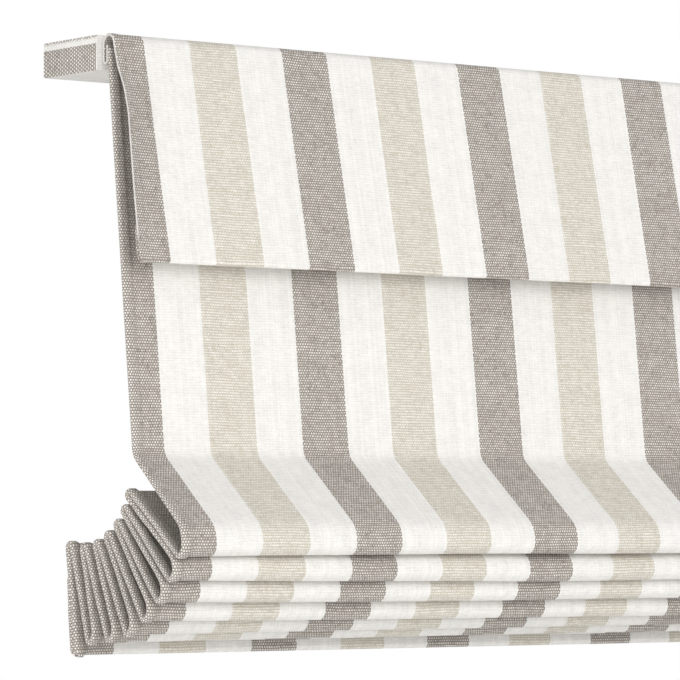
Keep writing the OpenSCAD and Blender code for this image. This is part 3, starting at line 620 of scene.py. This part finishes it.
# The side hem is thicker where it turns round a rod; each fold sags and waves a little at its foot.
FOLDS_FROM, FOLDS_EASE, PANEL_BEAD, ROD_BEAD = 0.42, 0.05, 0.0024, 0.0032
SAGS, SAG_WIDE = (-0.0013, 0.0031, 0.0018, 0.0027, 0.0, 0.0, 0.0, 0.0), 1.08
RUFFLE_WIDE, HEM_CORNER = 0.025, 0.005
folded = np.clip((cloth_run - FOLDS_FROM) / FOLDS_EASE, 0, 1)
swell = (folded * (1 - sway) * (0.8 + 0.2 * np.sin(cloth_run * 190)))[:, None]
cloth_half = hemmed(cloth_x, PANEL_BEAD) * (1 - swell) + hemmed(cloth_x, ROD_BEAD) * swell
cloth_shift = np.zeros((len(sway), len(cloth_x), 3))
bow = np.sin((cloth_x - cloth_x[0]) * math.pi / SAG_WIDE)
for k, sag in enumerate(SAGS):
    wave = 0.6 * np.sin(cloth_x * (9 + 2 * k) + 1.7 * k) + 0.4 * np.sin(cloth_x * (23 - k) + 0.9 * k)
    rows_k = fold_of == k
    cloth_shift[rows_k, :, 1] = -0.0006 * sway[rows_k, None] * wave
    cloth_shift[rows_k, :, 2] = -sway[rows_k, None] * (0.0005 * wave + sag * bow)
ruffle = folded * (0.0003 * np.sin(cloth_run * 83) + 0.0002 * np.sin(cloth_run * 211 + 1.0))
at_side = np.exp(-(CLOTH_WIDE / 2 - np.abs(cloth_x)) / RUFFLE_WIDE)
cloth_shift[:, :, 1:] += cloth_line[1][:, None, :] * (ruffle[:, None] * at_side[None, :])[:, :, None]
round_corners(cloth_shift, cloth_x, cloth_z - cloth_z.min(), HEM_CORNER)
cloth_drift = np.interp(cloth_run, (0.36, 0.49, 0.68), (0.0041, 0.0077, 0.0125))
cloth, cloth_front, cloth_back = sheet_mesh(
    "folded_cloth", cloth_line, cloth_x, cloth_half, cloth_shift, cloth_drift
)
# The main cloth's side edges get painted highlight: stronger white dots.
panel_linen = striped_linen("panel_linen", 0.0, 1.5)
cloth.data.materials.append(panel_linen.material)
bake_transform(cloth)
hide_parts("flat_panel", "fold_stack")


# Fold rods and hem bar
# Round white fibreglass rods lie in the rear folds, and a flat aluminium bar weights the bottom hem.
# They keep every fold straight from side to side.
ROD_TONES = (0.74, 0.75, 0.72, 1), (0.86, 0.86, 0.83, 1)
FIBRE_LINES = (8.0, 2400.0, 2400.0)
glass_rod = Finish("glass_rod", IOR=1.52)
drawn_out = glass_rod.stretched(glass_rod.place(), FIBRE_LINES)
fibres = glass_rod.noise(drawn_out, 1.0, 3.0)
glass_rod.wear("Base Color", glass_rod.mixed(fibres, *ROD_TONES))
glass_rod.wear("Roughness", 0.3 + 0.2 * fibres)
glass_rod.relief(fibres, 0.00002)
dress(glass_rod, *(f"fold_rod_{k + 1}" for k in range(FOLDS)))
dress(mill_aluminium, "hem_bar")


# Tape rings
# Small moulded rings, one behind each rear fold on three lines, each sewn on with a few turns of thread.
# The lift tapes run down through them.
RING_TONES = (0.78, 0.80, 0.80, 1), (0.88, 0.90, 0.90, 1)
ring_plastic = Finish("ring_plastic", IOR=1.49, Coat_Roughness=0.1)
haze = ring_plastic.noise(ring_plastic.place(), 300.0)
ring_plastic.wear("Base Color", ring_plastic.mixed(haze, *RING_TONES))
ring_plastic.wear("Roughness", 0.16 + 0.16 * haze)
ring_plastic.relief(ring_plastic.noise(ring_plastic.place(), 1500.0), 0.00002)
for side in SIDES:
    dress(ring_plastic, "tape_rings_" + side)


# Wound tape
# The spare length of each lift tape, wound on its spool in a flat spiral.
# It is white twill webbing, 8 mm wide and thin enough to wind tightly.
TAPE_WIDE, TAPE_HALF = 0.008, 0.0002
SHAFT_Y, SHAFT_Z = -0.066, 0.042
TAPE_XS = dict(zip(SIDES, (-0.29, 0.0, 0.29)))
TAPE_EDGE = np.array((0, 0.0002, 0.0006, 0.0012, 0.0025))
tape_across = np.concatenate((TAPE_EDGE, [TAPE_WIDE / 2], TAPE_WIDE - TAPE_EDGE[::-1])) - TAPE_WIDE / 2
tape_half = TAPE_HALF * np.array((0.3, 0.9, 1.0, 0.85, 0.85, 0.85, 0.85, 0.85, 1.0, 0.9, 0.3))

WEBBING_TONES = (0.87, 0.86, 0.83, 1), (0.70, 0.69, 0.66, 1)
TWILL_WIDE, TWILL_LONG = 0.0006, 0.0009
webbing = Finish("twill_webbing", Roughness=0.8, Sheen_Weight=0.15)
x, y, _ = webbing.parts(webbing.node("ShaderNodeAttribute", {"attribute_name": "cut"}, out="Vector"))
rib = ((x.size() / TWILL_WIDE + y / TWILL_LONG).fract() - 0.5).size()
yarn_tone = webbing.noise(webbing.node("ShaderNodeCombineXYZ", None, {0: x, 1: y}), 900.0)
webbing.wear("Base Color", webbing.mixed(rib * 1.3 + 0.3 * yarn_tone, *WEBBING_TONES))
webbing.relief(rib, 0.0001, 0.8)

COIL_IN, COIL_OUT, COIL_STEP, TURN_PARTS = 0.0074, 0.0109, 0.0005, 36
turns = (COIL_OUT - COIL_IN) / COIL_STEP
angles = np.linspace(-math.tau * turns, 0, round(turns * TURN_PARTS)) + math.pi
radii = np.linspace(COIL_IN, COIL_OUT, len(angles))
outward = np.stack((np.cos(angles), np.sin(angles)), axis=1)
coil_spots = np.array((SHAFT_Y, SHAFT_Z)) + outward * radii[:, None]
coil_run = np.concatenate(([0.0], np.cumsum(np.linalg.norm(np.diff(coil_spots, axis=0), axis=1))))
for side in SIDES:
    coil, _, _ = sheet_mesh("coiled_tape_" + side, (coil_spots, outward, coil_run), tape_across, tape_half)
    coil.data.transform(Matrix.Translation((TAPE_XS[side], 0, 0)))
    coil.data.materials.append(webbing.material)
    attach(coil, "shaft")
    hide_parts("wound_tape_" + side)


# Lift tapes
# Three tapes that leave the spools' fronts, pass through the headrail's slots and run down the rings.
# Each ends in a clamped stop below the last ring.
RING_R, RING_WIRE, SEWN_GAP = 0.0065, 0.002, 0.0002
TAPE_RUN_R, ABOVE_RING, TAPE_TAIL = 0.0117, 0.002, 0.0145
rings = [
    rod + (ROD_R + CLOTH_HALF + SEWN_GAP + RING_R + RING_WIRE / 2) * along(leg)
    for rod, leg in zip(rods, leg_angles)
]
tail = rings[-1] - rings[-2]
tape_pins = [(SHAFT_Y, SHAFT_Z, TAPE_RUN_R, 1), (rings[0][0], rings[0][1] + RING_WIRE / 2 + ABOVE_RING, 0, 0)]
tape_pins += [(*ring, 0, 0) for ring in rings]
tape_pins.append((*(rings[-1] + tail / np.linalg.norm(tail) * TAPE_TAIL), 0, 0))
tape_line = run_round(tape_pins, 0.006)
for side in SIDES:
    tape, _, _ = sheet_mesh("running_tape_" + side, tape_line, tape_across, tape_half)
    tape.data.transform(Matrix.Translation((TAPE_XS[side], 0, 0)))
    tape.data.materials.append(webbing.material)
    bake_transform(tape)
    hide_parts("lift_tape_" + side, "gathered_tape_" + side)


# Stitching
# Cream thread: running stitches hold the side hems, the bottom hem and the valance's hem at the back.
# A few turns of the same thread tack each ring to its fold.
THREAD_TONES = (0.70, 0.67, 0.60, 1), (0.86, 0.83, 0.77, 1)
sewing_thread = Finish("sewing_thread", Roughness=0.75, Sheen_Weight=0.2)
twist = sewing_thread.noise(sewing_thread.place(), 2500.0)
sewing_thread.wear("Base Color", sewing_thread.mixed(twist, *THREAD_TONES))
sewing_thread.relief(twist, 0.0001)


def node_tree(name, sizes):
    """An empty Geometry Nodes tree with named sizes and a thread material as inputs."""
    tree = bpy.data.node_groups.new(name, "GeometryNodeTree")
    tree.interface.new_socket("Geometry", in_out="INPUT", socket_type="NodeSocketGeometry")
    for size in sizes:
        tree.interface.new_socket(size, in_out="INPUT", socket_type="NodeSocketFloat")
    tree.interface.new_socket("Thread", in_out="INPUT", socket_type="NodeSocketMaterial")
    tree.interface.new_socket("Geometry", in_out="OUTPUT", socket_type="NodeSocketGeometry")
    return tree


def wired(tree, kind, settings=None, **links):
    """Adds a node; each link is a socket to join or a value to set, by the input's name."""
    made = tree.nodes.new(kind)
    for key, value in (settings or {}).items():
        setattr(made, key, value)
    for key, value in links.items():
        socket = made.inputs[key.replace("_", " ")]
        if isinstance(value, bpy.types.NodeSocket):
            tree.links.new(value, socket)
        else:
            socket.default_value = value
    return made.outputs


def closed_off(tree, instances, thread):
    """Ends a tree: the thread becomes one plain mesh with its material."""
    real = wired(tree, "GeometryNodeRealizeInstances", Geometry=instances)["Geometry"]
    smooth = wired(tree, "GeometryNodeSetShadeSmooth", Geometry=real)["Geometry"]
    done = wired(tree, "GeometryNodeSetMaterial", Geometry=smooth, Material=thread)["Geometry"]
    wired(tree, "NodeGroupOutput", Geometry=done)


stitch_tree = node_tree("running_stitch", ("Pitch", "Length", "Thickness"))
given = wired(stitch_tree, "NodeGroupInput")
seam = wired(stitch_tree, "GeometryNodeMeshToCurve", Mesh=given["Geometry"])["Curve"]
pricks = wired(
    stitch_tree, "GeometryNodeCurveToPoints", {"mode": "LENGTH"}, Curve=seam, Length=given["Pitch"]
)
grain = wired(stitch_tree, "GeometryNodeMeshUVSphere", Segments=6, Rings=4, Radius=0.5)["Mesh"]
stretch = wired(
    stitch_tree, "ShaderNodeCombineXYZ", X=given["Thickness"], Y=given["Thickness"], Z=given["Length"]
)
stitches = wired(
    stitch_tree, "GeometryNodeInstanceOnPoints", Points=pricks["Points"], Instance=grain,
    Rotation=pricks["Rotation"], Scale=stretch["Vector"]
)
closed_off(stitch_tree, stitches["Instances"], given["Thread"])

tack_tree = node_tree("ring_tack", ("Loop", "Thickness"))
given = wired(tack_tree, "NodeGroupInput")
loop = wired(tack_tree, "GeometryNodeCurvePrimitiveCircle", Resolution=12, Radius=given["Loop"])["Curve"]
strand = wired(
    tack_tree, "GeometryNodeCurvePrimitiveCircle", Resolution=5, Radius=given["Thickness"]
)["Curve"]
turn = wired(tack_tree, "GeometryNodeCurveToMesh", Curve=loop, Profile_Curve=strand)["Mesh"]
tacks = wired(
    tack_tree, "GeometryNodeInstanceOnPoints", Points=given["Geometry"], Instance=turn,
    Rotation=(0, math.radians(90), 0)
)
closed_off(tack_tree, tacks["Instances"], given["Thread"])


def sewn(name, tree, points, edges, **sizes):
    """A mesh of thread made by a tree on points or on lines of points."""
    mesh = bpy.data.meshes.new(name)
    mesh.from_pydata(points, edges, [])
    piece = bpy.data.objects.new(name, mesh)
    bpy.context.scene.collection.objects.link(piece)
    made = piece.modifiers.new("thread", "NODES")
    made.node_group = tree
    sizes["Thread"] = sewing_thread.material
    for item in tree.interface.items_tree:
        if item.in_out == "INPUT" and item.name in sizes:
            made[item.identifier] = sizes[item.name]
    whole = piece.evaluated_get(bpy.context.evaluated_depsgraph_get())
    piece.data = bpy.data.meshes.new_from_object(whole)
    piece.modifiers.clear()
    return piece


def joined(*paths):
    """Points and edges of several open lines."""
    points, edges = [], []
    for path in paths:
        edges += [(len(points) + i, len(points) + i + 1) for i in range(len(path) - 1)]
        points += [tuple(map(float, spot)) for spot in path]
    return points, edges


STITCH = {"Pitch": 0.0042, "Length": 0.0027, "Thickness": 0.0007}
TACK = {"Loop": 0.0019, "Thickness": 0.0004}
HEM_SEAM_IN, VALANCE_SEAM_IN, TACK_OUT, TACK_TURNS = 0.005, 0.004, 0.0015, (-0.0011, 0.0, 0.0011)
hem_columns = slice(12, -12)
side_column = 9
side_seams = joined(cloth_back[:, side_column], cloth_back[:, -1 - side_column])
side_stitches = sewn("side_stitches", stitch_tree, *side_seams, **STITCH)
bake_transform(side_stitches)
hem_row = int(np.argmin(np.abs(cloth_run - (cloth_run[-1] - HEM_SEAM_IN))))
hem_stitches = sewn("hem_stitches", stitch_tree, *joined(cloth_front[hem_row, hem_columns]), **STITCH)
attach(hem_stitches, "folds")
valance_row = int(np.argmin(np.abs(valance_line[2] - (valance_line[2][-1] - VALANCE_SEAM_IN))))
valance_seam = joined(valance_front[valance_row, hem_columns])
valance_stitches = sewn("valance_stitches", stitch_tree, *valance_seam, **STITCH)
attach(valance_stitches, "headrail")
tack_points = [
    (TAPE_XS[side] + offset, *(rod + (ROD_R + TACK_OUT) * along(leg)))
    for side in SIDES for rod, leg in zip(rods, leg_angles) for offset in TACK_TURNS
]
ring_tacks = sewn("ring_tacks", tack_tree, tack_points, [], **TACK)
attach(ring_tacks, "folds")


# Camera
# The photograph's view: from the left and a little below the headrail, with a long lens.
# Its place was fitted to the stripes' edges.
CAMERA_AT, YAW, PITCH = (-2.4709, -3.1745, -0.3892), 37.0, 2.644
FOCAL_PIXELS, IMAGE_PIXELS = 4103.4, 680
yaw, pitch = math.radians(YAW), math.radians(PITCH)
forward = Vector((math.sin(yaw) * math.cos(pitch), math.cos(yaw) * math.cos(pitch), math.sin(pitch)))
sideways = Vector((math.cos(yaw), -math.sin(yaw), 0))
upward = sideways.cross(forward)
lens = bpy.data.cameras.new("view")
lens.sensor_fit, lens.sensor_width = "HORIZONTAL", 36.0
lens.lens = FOCAL_PIXELS / IMAGE_PIXELS * lens.sensor_width
lens.clip_start, lens.clip_end = 0.1, 100.0
eye = bpy.data.objects.new("view", lens)
turned = Matrix((sideways, upward, -forward)).transposed().to_4x4()
eye.matrix_world = Matrix.Translation(CAMERA_AT) @ turned
bpy.context.scene.collection.objects.link(eye)
bpy.context.scene.camera = eye


# Studio
# A pale floor below the blind, even white surroundings and three large soft lights.
# The floor is out of the photograph's view.
FLOOR_HALF, FLOOR_Z = 8.0, -1.1
FLOOR_TONES = (0.86, 0.86, 0.85, 1), (0.90, 0.90, 0.89, 1)
floor_mesh = bpy.data.meshes.new("floor")
floor_corners = [(FLOOR_HALF * a, FLOOR_HALF * b, FLOOR_Z) for a, b in ((-1, -1), (1, -1), (1, 1), (-1, 1))]
floor_mesh.from_pydata(floor_corners, [], [(0, 1, 2, 3)])
floor = bpy.data.objects.new("floor", floor_mesh)
bpy.context.scene.collection.objects.link(floor)
pale_floor = Finish("pale_floor", Roughness=0.8)
grain = pale_floor.noise(pale_floor.place(), 3.0, 3.0)
pale_floor.wear("Base Color", pale_floor.mixed(grain, *FLOOR_TONES))
floor_mesh.materials.append(pale_floor.material)

SURROUND_LIGHT, SURROUND_SEEN = 0.62, 1.0
world = bpy.data.worlds.new("studio")
bpy.context.scene.world = world
world.use_nodes = True
surround = world.node_tree.nodes["Background"]
surround.inputs["Color"].default_value = (1, 1, 1, 1)
ray = world.node_tree.nodes.new("ShaderNodeLightPath")
level = world.node_tree.nodes.new("ShaderNodeMapRange")
level.inputs["To Min"].default_value = SURROUND_LIGHT
level.inputs["To Max"].default_value = SURROUND_SEEN
world.node_tree.links.new(ray.outputs["Is Camera Ray"], level.inputs["Value"])
world.node_tree.links.new(level.outputs["Result"], surround.inputs["Strength"])


def soft_light(name, at, towards, size, power):
    """A round soft light, with its place and target in metres and its power in watts."""
    light = bpy.data.lights.new(name, "AREA")
    light.shape, light.size, light.energy = "DISK", size, power
    lamp = bpy.data.objects.new(name, light)
    lamp.location = at
    lamp.rotation_mode = "QUATERNION"
    lamp.rotation_quaternion = (Vector(towards) - Vector(at)).to_track_quat("-Z", "Y")
    bpy.context.scene.collection.objects.link(lamp)


soft_light("key", (-1.4, -2.6, 0.3), (-0.1, -0.1, -0.2), 2.0, 19)
soft_light("fill", (1.4, -2.4, 0.2), (0.1, -0.1, -0.2), 1.6, 21)
soft_light("side", (-2.6, -1.0, -0.72), (-0.4, -0.1, -0.1), 0.8, 24)
bpy.context.scene.view_settings.view_transform = "Standard"
